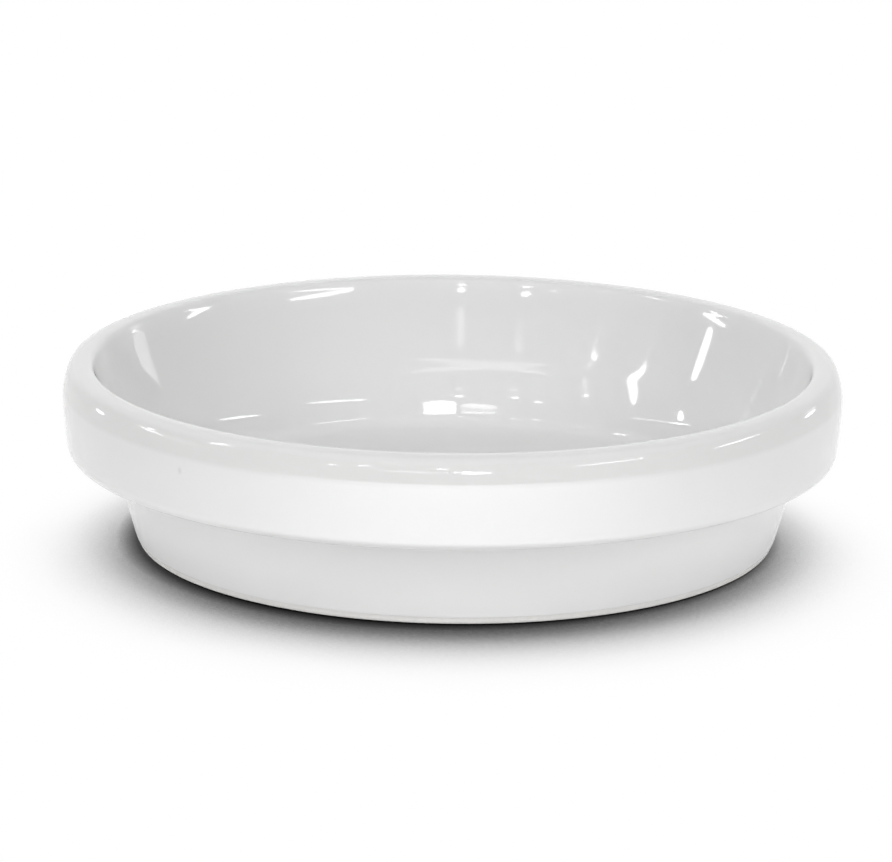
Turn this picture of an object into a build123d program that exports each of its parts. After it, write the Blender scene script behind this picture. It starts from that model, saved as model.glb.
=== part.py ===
from build123d import *
import os

# Round plant saucer of white earthenware, pressed in one piece and dip glazed.
# A thick collar runs round the rim. Below it the body steps in and tapers to a bare foot ring.
# Lengths are millimetres, taken over the glaze. +Z is up, and the origin is the centre of
# the plane that the foot ring stands on.

# Whole saucer
rim_diameter = 160.0
height = 37.5

# Rim collar, from the lip's crown down to the ledge under it
collar_height = 19.0
collar_edge_bevel = 0.8
ledge_width = 9.3

# Lip, which slopes in over the shoulder, rolls over its crown and breaks into the mouth
shoulder_drop = 5.2
shoulder_inset = 1.6
lip_width = 3.8
lip_rounding = 2.4
mouth_bevel = 0.9

# Inside, a flat floor with a cove up to the leaning wall
wall_thickness = 5.6
floor_thickness = 5.5
cove_width = 3.4
cove_height = 3.2

# Tapered body and its foot, a bare ring round a shallow recess
body_taper = 5.0
foot_bevel = 1.4
foot_ring_width = 7.0
recess_depth = 1.5
recess_side_run = 1.2

# Glaze, thinner on the edges, and wiped off the foot before firing
glaze_thickness = 0.5
clay_lip_bevel = 1.0
bare_foot_height = 1.6
bare_recess_margin = 1.5

# Radii and heights that follow from these sizes
rim_radius = rim_diameter / 2
lip_outer_radius = rim_radius - shoulder_inset
mouth_radius = lip_outer_radius - lip_width
neck_radius = rim_radius - ledge_width
foot_radius = neck_radius - body_taper
foot_ring_radius = foot_radius - foot_ring_width
recess_radius = foot_ring_radius - recess_side_run
shoulder_height = height - shoulder_drop
ledge_height = height - collar_height
floor_height = recess_depth + floor_thickness
cove_top = floor_height + cove_height
recess_ceiling = recess_depth + glaze_thickness


def between(start, end, share):
    """The value that lies this share of the way from start to end."""
    return start + (end - start) * share


def body_radius(level):
    """Radius of the tapered body's outer face at a height above the foot."""
    return between(foot_radius, neck_radius, level / ledge_height)


def wall_radius(level):
    """Radius of the leaning inner wall at a height above the foot."""
    floor_radius = body_radius(floor_height) - wall_thickness
    return between(floor_radius, mouth_radius, (level - floor_height) / (height - floor_height))


def shoulder_radius(level):
    """Radius of the sloping shoulder at a height above the foot."""
    return between(lip_outer_radius, rim_radius, (height - level) / shoulder_drop)


# Corners of the half section from the recess out to the foot's bevel, all of them bare clay
foot_corners = [
    (0, recess_ceiling, 0),
    (recess_radius, recess_ceiling, 0),
    (foot_ring_radius, 0, 0),
]


def half_section(corners):
    """Half of the turned section, from corners that give a radius, a height and a rounding."""
    points = [(radius, level) for radius, level, rounding in corners]
    roundings = [rounding for radius, level, rounding in corners]
    outline = FilletPolyline(*points, radius=roundings, close=True)
    return Plane.XZ * make_face(outline)


def glazed_section():
    """Half section over the glaze, from the foot up the body, over the lip and down inside."""
    return half_section(foot_corners + [
        (foot_radius - foot_bevel, 0, 0),
        (body_radius(foot_bevel), foot_bevel, 0),
        (neck_radius, ledge_height, 0),
        (rim_radius - collar_edge_bevel, ledge_height, 0),
        (rim_radius, ledge_height + collar_edge_bevel, 0),
        (rim_radius, shoulder_height, 0),
        (lip_outer_radius, height, lip_rounding),
        (mouth_radius + mouth_bevel, height, 0),
        (wall_radius(height - mouth_bevel), height - mouth_bevel, 0),
        (wall_radius(cove_top), cove_top, 0),
        (wall_radius(floor_height) - cove_width, floor_height, 0),
        (0, floor_height, 0),
    ])


def clay_section():
    """Half section of the clay, a coat's depth inside the glaze, with its edges left crisper.

    Both edges of the collar stay sharp under the glaze and the lip's is only bevelled, so the
    coat is thinnest along them, as a fired glaze is.
    """
    coat = glaze_thickness
    crown = height - coat
    return half_section(foot_corners + [
        (foot_radius - coat - foot_bevel, 0, 0),
        (body_radius(foot_bevel) - coat, foot_bevel, 0),
        (neck_radius - coat, ledge_height + coat, 0),
        (rim_radius - coat, ledge_height + coat, 0),
        (rim_radius - coat, shoulder_height, 0),
        (shoulder_radius(crown - clay_lip_bevel) - coat, crown - clay_lip_bevel, 0),
        (lip_outer_radius - coat - clay_lip_bevel, crown, 0),
        (mouth_radius + coat, crown, 0),
        (wall_radius(cove_top) + coat, cove_top, 0),
        (wall_radius(floor_height) - cove_width, floor_height - coat, 0),
        (0, floor_height - coat, 0),
    ])


def make_clay_body():
    """The fired clay, which carries both coats and stands on its bare foot ring."""
    return revolve(clay_section(), Axis.Z)


def make_glaze_coat():
    """The white coat over the inside, the lip, the collar and the body, down to the foot."""
    bare_foot = Plane.XZ * Rectangle(rim_diameter, bare_foot_height, align=(Align.CENTER, Align.MIN))
    return revolve(glazed_section() - clay_section() - bare_foot, Axis.Z)


def make_base_glaze():
    """The coat on the recess's ceiling, feathered out short of the bare foot ring."""
    edge_radius = recess_radius - bare_recess_margin
    outline = Polyline(
        (0, recess_depth),
        (edge_radius - glaze_thickness, recess_depth),
        (edge_radius, recess_ceiling),
        (0, recess_ceiling),
        close=True,
    )
    return revolve(Plane.XZ * make_face(outline), Axis.Z)


nodes = {
    "clay_body": make_clay_body(),
    "glaze_coat": make_glaze_coat(),
    "base_glaze": make_base_glaze(),
}

os.makedirs("parts", exist_ok=True)
for name, solid in nodes.items():
    solid.label = name
    export_step(solid, f"parts/{name}.step")
    print(name, round(solid.volume), "cubic mm,", len(solid.solids()), "solid")
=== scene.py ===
import math

import bmesh
import bpy
from mathutils import Matrix, Vector, noise


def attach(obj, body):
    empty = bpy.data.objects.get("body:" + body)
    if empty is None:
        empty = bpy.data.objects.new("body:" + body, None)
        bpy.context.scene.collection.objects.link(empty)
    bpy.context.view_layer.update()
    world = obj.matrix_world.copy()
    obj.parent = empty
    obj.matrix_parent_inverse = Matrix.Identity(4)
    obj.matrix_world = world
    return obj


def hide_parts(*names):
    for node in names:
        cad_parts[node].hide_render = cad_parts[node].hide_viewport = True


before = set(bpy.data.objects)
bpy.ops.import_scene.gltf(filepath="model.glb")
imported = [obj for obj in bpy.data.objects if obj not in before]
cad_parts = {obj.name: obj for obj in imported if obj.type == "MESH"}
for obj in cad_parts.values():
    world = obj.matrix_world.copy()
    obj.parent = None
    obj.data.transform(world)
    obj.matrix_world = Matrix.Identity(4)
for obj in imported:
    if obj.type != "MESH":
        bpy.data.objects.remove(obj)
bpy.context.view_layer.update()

# Clay body
# The saucer is one piece of fine white earthenware, pressed in a mould and fettled on a wheel.
# Only its foot is left bare, where the glaze was sponged away: a pale, matt ring that shows
# the fine grain of the fired clay.
MM = 0.001
GLAZE_DEPTH = 0.5

# The outline over the glaze, from the floor's middle over the lip to the foot, in millimetres.
# Each corner has a radius, a height and the distance at which its rounding starts.
OUTLINE = [
    (0.0, 7.0, 0),
    (57.2, 7.0, 0),
    (60.1, 7.1, 0),
    (61.7, 7.7, 0),
    (62.35, 8.7, 0),
    (62.75, 10.1, 0),
    (63.2, 11.7, 0),
    (63.65, 13.2, 0),
    (64.35, 14.9, 0),
    (65.2, 16.75, 0),
    (66.25, 18.9, 0),
    (67.35, 20.8, 0),
    (68.45, 23.3, 0),
    (71.25, 30.0, 0),
    (72.59, 33.4, 0),
    (73.3, 35.4, 0),
    (73.73, 36.88, 0),
    (74.4, 37.4, 0),
    (75.8, 37.5, 0),
    (77.4, 37.4, 0),
    (78.4, 36.8, 0),
    (79.1, 35.6, 0),
    (79.65, 33.7, 0),
    (79.95, 31.8, 0),
    (80.02, 29.6, 0),
    (79.6, 25.0, 0),
    (79.28, 21.7, 0),
    (79.06, 18.5, 1.9),
    (70.7, 18.5, 1.3),
    (66.1, 1.9, 0),
]
BARE_FOOT = [
    (65.6, 0.7, 0),
    (64.4, 0.0, 0.8),
    (61.2, 0.0, 0),
    (58.7, 0.0, 0.6),
    (57.5, 2.0, 0.6),
    (0.0, 2.0, 0),
]

# How finely it is turned. Runs longer than each of these lengths are halved, one after another.
RIM_STEPS = 72
BEND_SEGMENTS = 2
LONGEST_RUNS = (20, 12, 8)
WELD_DISTANCE = 0.02
SMOOTH_LEVELS = 2

# How drying and firing moved it, in millimetres, with the scales of the unevenness. It shrank
# towards its axis, and its rim sank. Below the ledge it moved to one side, but only outside a
# radius that grows with the height, so the inner wall stayed.
SLOW_SHRINKING, SLOW_SCALES = 0.14, (16, 16, 10)
QUICK_SHRINKING, QUICK_SCALE = 0.05, 60
STEADY_RADIUS = 10
RIM_SINKING = 0.1
SINKING_FROM = 19
BODY_SHIFT = 0.87
SHIFT_BELOW, SHIFT_FADE = 19.5, 2
SHIFT_OUTSIDE, SHIFT_LEAN = 63, 0.3


def under_glaze(corners):
    """The clay's own outline, the glaze's depth inside the one over it."""
    skin = []
    for before, corner, after in zip(corners[:1] + corners, corners, corners[1:] + corners[-1:]):
        run = (Vector(after[:2]) - Vector(before[:2])).normalized() * GLAZE_DEPTH
        skin.append((max(0.0, corner[0] + run.y), corner[1] - run.x, corner[2]))
    return skin


def turned(name, corners):
    """A piece turned from half of its section, with the clay's slight unevenness."""
    bm = bmesh.new()
    points = [bm.verts.new((radius * MM, 0, level * MM)) for radius, level, reach in corners]
    for pair in zip(points, points[1:]):
        bm.edges.new(pair)
    for point, (radius, level, reach) in zip(points, corners):
        if reach:
            bmesh.ops.bevel(bm, geom=[point], offset=reach * MM, affect="VERTICES",
                            segments=BEND_SEGMENTS, profile=0.5, material=-1)
    for longest in LONGEST_RUNS:
        runs = [edge for edge in bm.edges if edge.calc_length() > longest * MM]
        bmesh.ops.subdivide_edges(bm, edges=runs, cuts=1)
    bmesh.ops.spin(bm, geom=bm.verts[:] + bm.edges[:], cent=(0, 0, 0), axis=(0, 0, 1),
                   angle=2 * math.pi, steps=RIM_STEPS, use_merge=True)
    bmesh.ops.remove_doubles(bm, verts=bm.verts, dist=WELD_DISTANCE * MM)
    bmesh.ops.recalc_face_normals(bm, faces=bm.faces)
    for vert in bm.verts:
        vert.co = settled(vert.co)
    mesh = bpy.data.meshes.new(name)
    bm.to_mesh(mesh)
    bm.free()
    mesh.shade_smooth()
    piece = bpy.data.objects.new(name, mesh)
    bpy.context.scene.collection.objects.link(piece)
    smooth = piece.modifiers.new("smooth", "SUBSURF")
    smooth.levels = smooth.render_levels = SMOOTH_LEVELS
    return piece


def settled(place):
    """Where a point of the wheel's true shape has moved to in drying and firing."""
    radius = math.hypot(place.x, place.y)
    waves = Vector([value * scale for value, scale in zip(place, SLOW_SCALES)])
    slow = 0.5 + 0.5 * noise.noise(waves)
    quick = 0.5 + 0.5 * noise.noise(place * QUICK_SCALE)
    inwards = (SLOW_SHRINKING * slow + QUICK_SHRINKING * quick) * MM
    shrunk = inwards / max(radius, STEADY_RADIUS * MM)
    above = max(0.0, place.z / (SINKING_FROM * MM) - 1)
    below = max(0.0, min(1.0, (SHIFT_BELOW * MM - place.z) / (SHIFT_FADE * MM)))
    outside = radius > SHIFT_OUTSIDE * MM + SHIFT_LEAN * place.z
    aside = BODY_SHIFT * MM * below * outside
    return Vector((place.x * (1 - shrunk) + aside, place.y * (1 - shrunk),
                   place.z - RIM_SINKING * MM * slow * above))


clay = turned("clay_body_fired", under_glaze(OUTLINE) + BARE_FOOT)

BARE_DARK, BARE_PALE = (0.76, 0.75, 0.73, 1), (0.87, 0.865, 0.85, 1)
GRAIN_SCALE, GRAIN_DETAIL = 900.0, 3.0
BARE_CLOUD_SCALE, BARE_CLOUD_SHARE = 60.0, 0.4
BARE_ROUGHNESS, GRAIN_ROUGHNESS = 0.7, 0.2


class Socket:
    """One outlet of a finish's node tree. Sums on it add Math nodes."""

    def __init__(self, tree, outlet=None):
        self.tree, self.outlet = tree, outlet

    def node(self, kind, settings=None, outlet=0, **values):
        """A new node: its settings come first, then what its sockets are given."""
        made = self.tree.nodes.new(kind)
        for name, value in (settings or {}).items():
            if name == "stops":
                fill_ramp(made.color_ramp, value)
            else:
                setattr(made, name, value)
        feed(made, **values)
        return Socket(self.tree, made.outputs[outlet])

    def maths(self, operation, first, second=0.0, clamped=False):
        """A Math node on two values."""
        settings = {"operation": operation, "use_clamp": clamped}
        return self.node("ShaderNodeMath", settings, i0=first, i1=second)

    def vector(self, operation, other=(0, 0, 0), outlet="Vector"):
        """A Vector Math node on this outlet. Its outlet "Value" gives a plain number."""
        settings = {"operation": operation}
        return self.node("ShaderNodeVectorMath", settings, outlet=outlet, i0=self, i1=other)

    def noise(self, scale, detail=2.0):
        """Noise on the outlet's place, from 0 to 1."""
        return self.node("ShaderNodeTexNoise", Vector=self, Scale=scale, Detail=detail)

    def between(self, low, high):
        """0 below the low value, 1 over the high one, and an even rise between them."""
        return self.maths("DIVIDE", self - low, high - low, clamped=True)

    def mix(self, first, second):
        """The colour that lies this share of the way from the first to the second.

        Sockets 6 and 7 and outlet 2 are the Mix node's own for colours.
        """
        settings = {"data_type": "RGBA"}
        return self.node("ShaderNodeMix", settings, outlet=2, i0=self, i6=first, i7=second)

    def __add__(self, other):
        return self.maths("ADD", self, other)

    __radd__ = __add__

    def __sub__(self, other):
        return self.maths("SUBTRACT", self, other)

    def __rsub__(self, other):
        return self.maths("SUBTRACT", other, self)

    def __mul__(self, other):
        return self.maths("MULTIPLY", self, other)

    __rmul__ = __mul__


def fill_ramp(ramp, stops):
    """Give a colour ramp its stops, each a position and a shade of grey."""
    while len(ramp.elements) < len(stops):
        ramp.elements.new(1.0)
    for stop, (position, shade) in zip(ramp.elements, stops):
        stop.position, stop.color = position, (shade, shade, shade, 1)


def feed(node, **sources):
    """Link outlets to a node's sockets, or set values on them. i0 is its first socket."""
    for name, source in sources.items():
        numbered = name[1:].isdigit()
        socket = node.inputs[int(name[1:]) if numbered else name.replace("_", " ")]
        if isinstance(source, Socket):
            source.tree.links.new(source.outlet, socket)
        else:
            socket.default_value = source


def new_finish(name):
    """A new material, its shader node and the place that its patterns are read at."""
    finish = bpy.data.materials.new(name)
    finish.use_nodes = True
    place = Socket(finish.node_tree).node("ShaderNodeTexCoord", outlet="Object")
    return finish, finish.node_tree.nodes["Principled BSDF"], place


bisque, shader, place = new_finish("bisque_clay_bare")
grain = place.noise(GRAIN_SCALE, GRAIN_DETAIL)
cloud = place.noise(BARE_CLOUD_SCALE)
paleness = grain * (1.0 - cloud * BARE_CLOUD_SHARE)
feed(shader,
     Base_Color=paleness.mix(BARE_DARK, BARE_PALE),
     Roughness=BARE_ROUGHNESS + GRAIN_ROUGHNESS * grain,
     Normal=grain.node("ShaderNodeBump", Strength=0.4, Distance=0.0002, Height=grain))
clay.data.materials.append(bisque)
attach(clay, "root")
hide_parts("clay_body")

# Glaze coat
# The saucer was dipped in a glossy white glaze, which fired into a skin half a millimetre
# thick over the inside, the lip, the collar and the body, and ends in a soft roll above the
# bare foot. Shade is painted into its colour, greyer over the lip's shoulder and in the crease.
GLAZE_END = (65.9, 1.65, 0)
GLAZE_LOW, GLAZE_HIGH = (0.85, 0.85, 0.85, 1), (0.88, 0.88, 0.88, 1)
# The grey of the shade painted over the lip's shoulder and in the crease under the collar
PAINTED_SHADE_GREY = (0.81, 0.81, 0.805, 1)
GLAZE_CLOUD_SCALE = 28.0
GLAZE_ROUGHNESS, CLOUD_ROUGHNESS = 0.035, 0.035
RIPPLE_SCALE, RIPPLE_DETAIL = 70.0, 1.0
glaze = turned("glaze_coat_fired", OUTLINE + [GLAZE_END] + under_glaze(OUTLINE)[::-1])


def fade(value, start, end):
    """0 up to the start, 1 from the end on, both in millimetres."""
    return value.between(start * MM, end * MM)


def larger(first, second):
    """The larger of two outlets' values."""
    return first.maths("MAXIMUM", first, second)


white, shader, place = new_finish("white_glaze_fired")
cloud = place.noise(GLAZE_CLOUD_SCALE)
ripple = place.noise(RIPPLE_SCALE, RIPPLE_DETAIL)
split = place.node("ShaderNodeSeparateXYZ", Vector=place).outlet.node.outputs
across, along, level = [Socket(place.tree, outlet) for outlet in split]
radius = place.maths("SQRT", across * across + along * along)

# Painted shade: the coat's colour is greyer over the lip's shoulder and in the crease under the
# collar. Each fades in and out over these heights and radii. The shoulder's edges wander a
# little.
WANDER, WANDER_SCALE = 0.3, 180.0
SHOULDER_BOTTOM, SHOULDER_TOP, SHOULDER_SIDE = (31.6, 32.6), (36.2, 37.0), (77.0, 78.0)
CREASE_BOTTOM, CREASE_TOP = (16.6, 18.4), (18.9, 19.4)
CREASE_INSIDE, CREASE_OUTSIDE = (68.0, 69.0), (71.5, 74.0)
wander = level + WANDER * MM * place.noise(WANDER_SCALE)
shoulder_shade = fade(wander, *SHOULDER_BOTTOM) * (1.0 - fade(wander, *SHOULDER_TOP))
shoulder_shade = shoulder_shade * fade(radius, *SHOULDER_SIDE)
crease_shade = fade(level, *CREASE_BOTTOM) * (1.0 - fade(level, *CREASE_TOP))
crease_shade = crease_shade * fade(radius, *CREASE_INSIDE) * (1.0 - fade(radius, *CREASE_OUTSIDE))
# Painted shade: the grey is mixed over the glaze's own clouded white on the shoulder and in the
# crease
colour = larger(shoulder_shade, crease_shade).mix(cloud.mix(GLAZE_LOW, GLAZE_HIGH), PAINTED_SHADE_GREY)

# Pinholes, with one larger on the front of the lip beside a blister, and a kiln mark on the
# collar. Each spot has a middle and a reach in millimetres, and is full up to its core.
PINHOLE_SCALE, PINHOLE_EDGE = 75.0, (0.006, 0.020)
LARGE_PINHOLE = (-0.6, -79.3, 34.7), (0.35, 0.35, 0.3)
BLISTER, BLISTER_RISE = ((0.6, -79.2, 34.8), (1.3, 1.0, 0.8)), 1.5
KILN_MARK, KILN_DIP = ((-53.1, -59.6, 29.3), (0.7, 0.7, 1.0)), 0.6
KILN_GREY, KILN_TINT, KILN_ROUGHNESS = (0.45, 0.44, 0.42, 1), 0.22, 0.2
SPOT_CORE = 0.3


def spot(place, middle, reach):
    """A soft spot on the glaze: 1 over its core, and 0 from its reach outwards."""
    moved = place.vector("SUBTRACT", [value * MM for value in middle])
    scaled = moved.vector("DIVIDE", [value * MM for value in reach])
    return 1.0 - scaled.vector("LENGTH", outlet="Value").between(SPOT_CORE, 1.0)


pores = place.node("ShaderNodeTexVoronoi", outlet="Distance", Vector=place, Scale=PINHOLE_SCALE)
pits = larger(1.0 - pores.between(*PINHOLE_EDGE), spot(place, *LARGE_PINHOLE))
blister = spot(place, *BLISTER)
kiln_mark = spot(place, *KILN_MARK)
relief = ripple + blister * BLISTER_RISE - pits - KILN_DIP * kiln_mark
feed(shader,
     Base_Color=(KILN_TINT * kiln_mark).mix(colour, KILN_GREY),
     Roughness=GLAZE_ROUGHNESS + CLOUD_ROUGHNESS * cloud + KILN_ROUGHNESS * kiln_mark,
     IOR=1.5,
     Normal=ripple.node("ShaderNodeBump", Strength=0.12, Distance=0.0005, Height=relief))
glaze.data.materials.append(white)
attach(glaze, "root")
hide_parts("glaze_coat")

# Base glaze
# The recess under the floor holds its own patch of the same glaze. It is parted from the
# main coat by the bare foot ring, and its edge feathers out where the sponge wiped it.
BASE_OUTLINE = [
    (0.0, 1.5, 0),
    (55.2, 1.5, 0.8),
    (56.0, 2.0, 0),
    (0.0, 2.0, 0),
]
base = turned("base_glaze_fired", BASE_OUTLINE)
base.data.materials.append(white)
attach(base, "root")
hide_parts("base_glaze")

# Studio table
# A plain white table top. It shows as pure white, with the saucer's soft shadow painted on it,
# leaned to reach further to the front, as most of the studio's light comes from behind.
TABLE_REACH = 6.0
TABLE_WHITE, TABLE_ROUGHNESS = (0.92, 0.92, 0.92, 1), 0.9

# The shadow: the way that the open sky is looked for, how far off, and the shade for each
# share of it that is open
SHADOW_LEAN = (0.0, 0.43, 0.9)
SKY_SAMPLES, SKY_DISTANCE = 16, 0.4
SHADOW_STOPS = [
    (0.10, 0.017), (0.15, 0.040), (0.19, 0.087), (0.26, 0.190), (0.31, 0.305), (0.37, 0.470),
    (0.43, 0.635), (0.49, 0.735), (0.55, 0.845), (0.61, 0.935), (0.67, 0.980), (0.75, 1.0),
]

# Right under the body the shadow deepens to this share, inside these distances from its middle
UNDER_SHADE = 0.25
UNDER_MIDDLE = (-0.0006, 0, 0)
UNDER_FADE = (64.2, 68.6)

# The table top that the glaze mirrors has a paler painted shadow, and a painted pool of light in
# front of the saucer
MIRRORED_FILL = 0.45
POOL_GLEAM = 3.5
POOL_FACING = (-0.2, 1.0)
POOL_FADE = (86, 98)

bm = bmesh.new()
bmesh.ops.create_grid(bm, x_segments=1, y_segments=1, size=TABLE_REACH)
mesh = bpy.data.meshes.new("table_top")
bm.to_mesh(mesh)
bm.free()
table = bpy.data.objects.new("table_top", mesh)
bpy.context.scene.collection.objects.link(table)


def seen_rays(tree):
    """Two outlets: 1 for the rays that see a thing in any way, and 1 for reflected rays alone."""
    rays = Socket(tree).node("ShaderNodeLightPath", outlet="Is Camera Ray")
    outlets = rays.outlet.node.outputs
    mirrored = Socket(tree, outlets["Is Glossy Ray"])
    through = Socket(tree, outlets["Is Transmission Ray"])
    return larger(larger(rays, mirrored), through), mirrored


table_finish, shader, place = new_finish("white_table")
feed(shader, Base_Color=TABLE_WHITE, Roughness=TABLE_ROUGHNESS)
seen, mirrored = seen_rays(place.tree)

lean = place.node("ShaderNodeCombineXYZ", X=SHADOW_LEAN[0], Y=SHADOW_LEAN[1], Z=SHADOW_LEAN[2])
open_sky = place.node("ShaderNodeAmbientOcclusion", {"samples": SKY_SAMPLES}, outlet="AO",
                      Distance=SKY_DISTANCE, Normal=lean)
# A painted shadow: the table's shown white is darkened by how open the sky is
shade = open_sky.node("ShaderNodeValToRGB", {"stops": SHADOW_STOPS}, Fac=open_sky)
under = fade(place.vector("DISTANCE", UNDER_MIDDLE, outlet="Value"), *UNDER_FADE)
shade = shade * (UNDER_SHADE + (1 - UNDER_SHADE) * under)
shade = shade + MIRRORED_FILL * mirrored * (1.0 - shade)

facing = place.vector("NORMALIZE").vector("DOT_PRODUCT", (0, -1, 0), outlet="Value")
in_front = facing.between(*POOL_FACING)
away = place.vector("LENGTH", outlet="Value")
# A painted pool of light in front of the saucer, seen only by reflected rays
pool = mirrored * in_front * in_front * in_front * fade(away, *POOL_FADE) * POOL_GLEAM
shown = shade.node("ShaderNodeEmission", Color=shade * (1.0 + pool), Strength=1.0)

lit = Socket(place.tree, shader.outputs["BSDF"])
surface = place.node("ShaderNodeMixShader", i0=seen, i1=lit, i2=shown)
feed(place.tree.nodes["Material Output"], Surface=surface)
table.data.materials.append(table_finish)

# Studio light
# A white studio all round, which is seen and mirrored but lights nothing. The light comes
# from soft lamps behind, overhead and on both sides, and from low ones round the front.
LAMP_DISTANCE = 1.6
AIM_LEVEL = 0.02
world = bpy.data.worlds.new("white_studio")
bpy.context.scene.world = world
world.use_nodes = True
seen, mirrored = seen_rays(world.node_tree)
feed(world.node_tree.nodes["Background"], Color=(1, 1, 1, 1), Strength=seen)


def hang_lamp(name, side, rise, width, height, watts,
              away=LAMP_DISTANCE, level=AIM_LEVEL, shape="RECTANGLE"):
    """A soft lamp aimed at the saucer.

    It hangs at an angle round from the camera and up, in degrees. Its size, its distance away
    and the level that it aims at are in metres.
    """
    side, rise = math.radians(side), math.radians(rise)
    aim = Vector((0, 0, level))
    outwards = Vector((math.cos(rise) * math.sin(side), -math.cos(rise) * math.cos(side),
                       math.sin(rise)))
    place = aim + away * outwards
    data = bpy.data.lights.new(name, "AREA")
    data.shape = shape
    data.size, data.size_y, data.energy = width, height, watts
    lamp = bpy.data.objects.new(name, data)
    bpy.context.scene.collection.objects.link(lamp)
    lamp.location = place
    lamp.rotation_euler = (aim - place).to_track_quat("-Z", "Y").to_euler()
    return lamp


for lamp_facts in [
    ("back_softbox", 180, 28, 0.8, 0.8, 11.6),
    ("back_right_softbox", 135, 28, 0.8, 0.8, 1.0),
    ("back_left_softbox", -135, 28, 0.8, 0.8, 3.4),
    ("right_softbox", 45, 28, 0.8, 0.8, 7.5),
    ("left_softbox", -45, 28, 0.8, 0.8, 7.9),
    ("front_low_softbox", 0, 12, 0.8, 0.5, 1.1),
    ("right_low_softbox", 45, 12, 0.8, 0.5, 0.5),
    ("left_low_softbox", -45, 12, 0.8, 0.5, 0.6),
    ("top_softbox", 0, 90, 0.9, 0.9, 6.8, 1.58),
    ("front_card", 0, 0, 0.9, 0.08, 0.27, 1.2, 0.045),
    ("right_card", 90, 0, 0.9, 0.08, 0.97, 1.2, 0.045),
    ("right_front_card", 45, 0, 0.9, 0.08, 1.02, 1.2, 0.045),
    ("left_front_card", -45, 0, 0.9, 0.08, 1.07, 1.2, 0.045),
]:
    hang_lamp(*lamp_facts).visible_glossy = False

# The glaze mirrors the studio's row of small lamps as bright marks, and dimmer panels as
# bands. Each has its angle round and up, its width and height, all in degrees, and its
# radiance.
for number, (side, rise, width, height, radiance) in enumerate([
    (5, 18, 13, 5, 12),
    (-11, 18, 14, 1.2, 8),
    (-3, 26.2, 3, 3, 12),
    (-26, 26.2, 3, 3, 12),
    (-35, 22, 3, 3, 12),
    (-56, 29.6, 2.5, 1.3, 12),
    (-56, 33.5, 2, 8, 2.6),
    (-77, 31.5, 3.6, 13, 12),
    (-99, 18.2, 3.2, 4.4, 12),
    (-98, 13.7, 12, 1.6, 12),
    (-82, 13.8, 18, 1.0, 5),
    (-122, 4, 5, 3, 12),
    (47, 23.3, 23, 2, 12),
    (91, 14.0, 20, 1.8, 12),
    (126, 4, 8, 2.5, 12),
    (128, 8, 8, 5, 1.7),
    (-12, 43.8, 46, 3.2, 2.2),
    (-3, 33, 3, 2, 2.4),
    (-26, 33, 3, 2, 2.4),
], start=1):
    width, height = [2 * LAMP_DISTANCE * math.tan(math.radians(angle / 2))
                     for angle in (width, height)]
    watts = radiance * math.pi * width * height * math.pi / 4
    glint = hang_lamp(f"glint_{number}", side, rise, width, height, watts, shape="ELLIPSE")
    glint.visible_diffuse = False

# Camera
# The photograph looks down on the saucer by about fifteen degrees from a good way off.
SENSOR_WIDTH, FOCAL_LENGTH = 36.0, 220.01
FAR_CLIP = 30
ROLL_DEGREES = 0.514
camera = bpy.data.objects.new("camera", bpy.data.cameras.new("camera"))
bpy.context.scene.collection.objects.link(camera)
camera.data.sensor_width = SENSOR_WIDTH
camera.data.lens = FOCAL_LENGTH
camera.data.clip_end = FAR_CLIP
stand = Vector((-1.26, -1083.3, 306.65)) * MM
aim = Vector((-1.26, 0.0, 22.15)) * MM
roll = Matrix.Rotation(math.radians(ROLL_DEGREES), 4, "Z")
turn = (aim - stand).to_track_quat("-Z", "Y").to_matrix().to_4x4() @ roll
camera.matrix_world = Matrix.Translation(stand) @ turn
bpy.context.scene.camera = camera
bpy.context.scene.view_settings.view_transform = "Standard"
